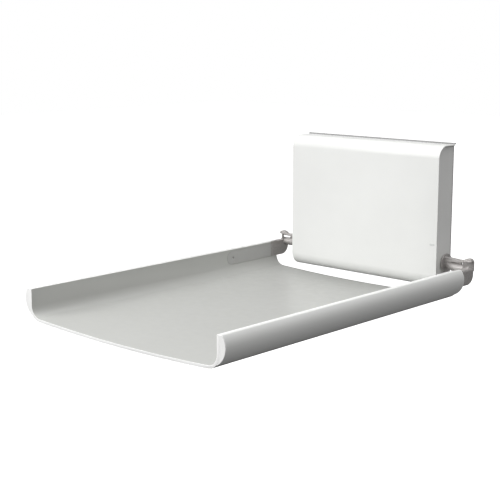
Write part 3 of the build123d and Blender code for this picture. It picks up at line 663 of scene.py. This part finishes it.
# %% A tree that turns a path into wire
def wire_tree():
    """Sweep a circle of Wire Radius along a path, with closed ends."""
    tree = bpy.data.node_groups.new("wire", "GeometryNodeTree")
    face = tree.interface
    face.new_socket("Path", in_out="INPUT", socket_type="NodeSocketGeometry")
    face.new_socket("Wire Radius", in_out="INPUT", socket_type="NodeSocketFloat")
    face.new_socket("Finish", in_out="INPUT", socket_type="NodeSocketMaterial")
    face.new_socket("Wire", in_out="OUTPUT", socket_type="NodeSocketGeometry")
    given = tree.nodes.new("NodeGroupInput")
    ring = tree.nodes.new("GeometryNodeCurvePrimitiveCircle")
    ring.inputs["Resolution"].default_value = 12
    sweep = tree.nodes.new("GeometryNodeCurveToMesh")
    sweep.inputs["Fill Caps"].default_value = True
    real = tree.nodes.new("GeometryNodeRealizeInstances")
    dress = tree.nodes.new("GeometryNodeSetMaterial")
    result = tree.nodes.new("NodeGroupOutput")
    link = tree.links.new
    link(given.outputs["Path"], sweep.inputs["Curve"])
    link(given.outputs["Wire Radius"], ring.inputs["Radius"])
    link(ring.outputs["Curve"], sweep.inputs["Profile Curve"])
    link(sweep.outputs["Mesh"], real.inputs["Geometry"])
    link(real.outputs["Geometry"], dress.inputs["Geometry"])
    link(given.outputs["Finish"], dress.inputs["Material"])
    link(dress.outputs["Geometry"], result.inputs["Wire"])
    return tree


wire = wire_tree()

# %% [markdown]
# The right spring's path is drawn point by point, thirty to a turn, and the left one is its mirror
# image.  Springs of opposite hand at the two ends of a shaft push it round the same way.  The inside
# of the unit is a design of its own, since nothing of it can be seen from outside.

# %% The springs
shaft_low, shaft_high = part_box("cross_shaft")
shaft_y = (shaft_low.y + shaft_high.y) / 2
shaft_z = (shaft_low.z + shaft_high.z) / 2
coil_radius = 12 * MM
coil_pitch = 5.5 * MM
coil_start = 70 * MM
coil_turns = 12
leg_length = 24 * MM
wire_radius = 1.78 * MM
steps_per_turn = 30
lean = leg_length * coil_pitch / (2 * pi * coil_radius)

path = [(coil_start - lean, shaft_y + coil_radius, shaft_z + leg_length)]
for step in range(coil_turns * steps_per_turn + 1):
    turn = step / steps_per_turn
    path.append((coil_start + coil_pitch * turn, shaft_y + coil_radius * cos(2 * pi * turn),
                 shaft_z - coil_radius * sin(2 * pi * turn)))

for side, label in ((1, "right"), (-1, "left")):
    curve = bpy.data.curves.new(f"{label}_spring_path", "CURVE")
    curve.dimensions = "3D"
    spline = curve.splines.new("POLY")
    spline.points.add(len(path) - 1)
    for point, (x, y, z) in zip(spline.points, path):
        point.co = (side * x, y, z, 1.0)
    spring = bpy.data.objects.new(f"{label}_wound_spring", curve)
    bpy.context.collection.objects.link(spring)
    give_tree(spring, wire, **{"Wire Radius": wire_radius, "Finish": finishes["spring_steel"]})
    spring = bake(spring)
    settle(spring, "wall_unit", "spring_steel", f"{label}_torsion_spring")

# %% [markdown]
# ## The stage
#
# The piece is shown on nothing but light: a pale floor far below, a white surround, one large soft box
# in front and to the left, a weaker one overhead, and a soft sky that is darker below.  The darker underside is what
# gives the rails their roundness.  The floor doesn't bounce light back up, or it would wash that out.

# %% Floor
floor_z = -0.95
reach = 14.0
corners = [(-reach, -reach, floor_z), (reach, -reach, floor_z), (reach, reach, floor_z),
           (-reach, reach, floor_z)]
mesh = bpy.data.meshes.new("floor")
mesh.from_pydata(corners, [], [(0, 1, 2, 3)])
floor = bpy.data.objects.new("floor", mesh)
bpy.context.collection.objects.link(floor)
floor_paint, _, floor_shader = start_material("pale_floor")
floor_shader.inputs["Base Color"].default_value = (0.93, 0.93, 0.93, 1.0)
floor_shader.inputs["Roughness"].default_value = 0.9
floor_shader.inputs["Specular IOR Level"].default_value = 0.1
floor_shader.inputs["Emission Color"].default_value = (1.0, 1.0, 1.0, 1.0)
floor_shader.inputs["Emission Strength"].default_value = 0.75
mesh.materials.append(floor_paint)
floor.visible_diffuse = False
floor.visible_glossy = False

# %% Surround
world = bpy.data.worlds.new("studio")
bpy.context.scene.world = world
world.use_nodes = True
sky = world.node_tree
sky.nodes.clear()
direction = node(sky, "ShaderNodeTexCoord").outputs["Generated"]
height = node(sky, "ShaderNodeSeparateXYZ", links={"Vector": direction})
ramp = node(sky, "ShaderNodeValToRGB")
lift = node(sky, "ShaderNodeMapRange", links={"Value": height.outputs["Z"]})
lift.inputs["From Min"].default_value = -1.0
sky.links.new(lift.outputs["Result"], ramp.inputs["Fac"])
bands = ramp.color_ramp
bands.elements[0].color = (0.04, 0.04, 0.04, 1.0)
bands.elements[1].color = (0.62, 0.62, 0.62, 1.0)
middle = bands.elements.new(0.5)
middle.color = (0.34, 0.34, 0.34, 1.0)
soft = node(sky, "ShaderNodeBackground", links={"Color": ramp.outputs["Color"]}, Strength=1.0)
plain = node(sky, "ShaderNodeBackground", Strength=1.0)
plain.inputs["Color"].default_value = (1.0, 1.0, 1.0, 1.0)
seen = node(sky, "ShaderNodeLightPath").outputs["Is Camera Ray"]
choose = node(sky, "ShaderNodeMixShader", links={"Fac": seen})
sky.links.new(soft.outputs["Background"], choose.inputs[1])
sky.links.new(plain.outputs["Background"], choose.inputs[2])
node(sky, "ShaderNodeOutputWorld", links={"Surface": choose.outputs["Shader"]})


# %% Soft boxes
def soft_box(name, place, target, size, power):
    """A square area light at place, facing target, that the camera doesn't see."""
    light = bpy.data.lights.new(name, "AREA")
    light.shape = "SQUARE"
    light.size = size
    light.energy = power
    lamp = bpy.data.objects.new(name, light)
    bpy.context.collection.objects.link(lamp)
    lamp.location = place
    lamp.visible_camera = False
    lamp.rotation_euler = (Vector(target) - Vector(place)).to_track_quat("-Z", "Y").to_euler()


soft_box("key", (-1.2, -3.5, 1.7), (0.0, -0.3, -0.1), 2.6, 108.0)
soft_box("top", (0.2, -0.4, 2.6), (0.0, -0.4, 0.0), 2.2, 30.0)

# %% Camera
camera_data = bpy.data.cameras.new("camera")
camera_data.lens = 82.36
camera_data.sensor_width = 36.0
camera = bpy.data.objects.new("camera", camera_data)
bpy.context.collection.objects.link(camera)
look_down = 10.743
look_left = 42.718
camera.location = (1.5772, -2.1487, 0.3725)
camera.rotation_euler = (radians(90 - look_down), 0.0, radians(look_left))
bpy.context.scene.camera = camera
bpy.context.scene.view_settings.view_transform = "Standard"
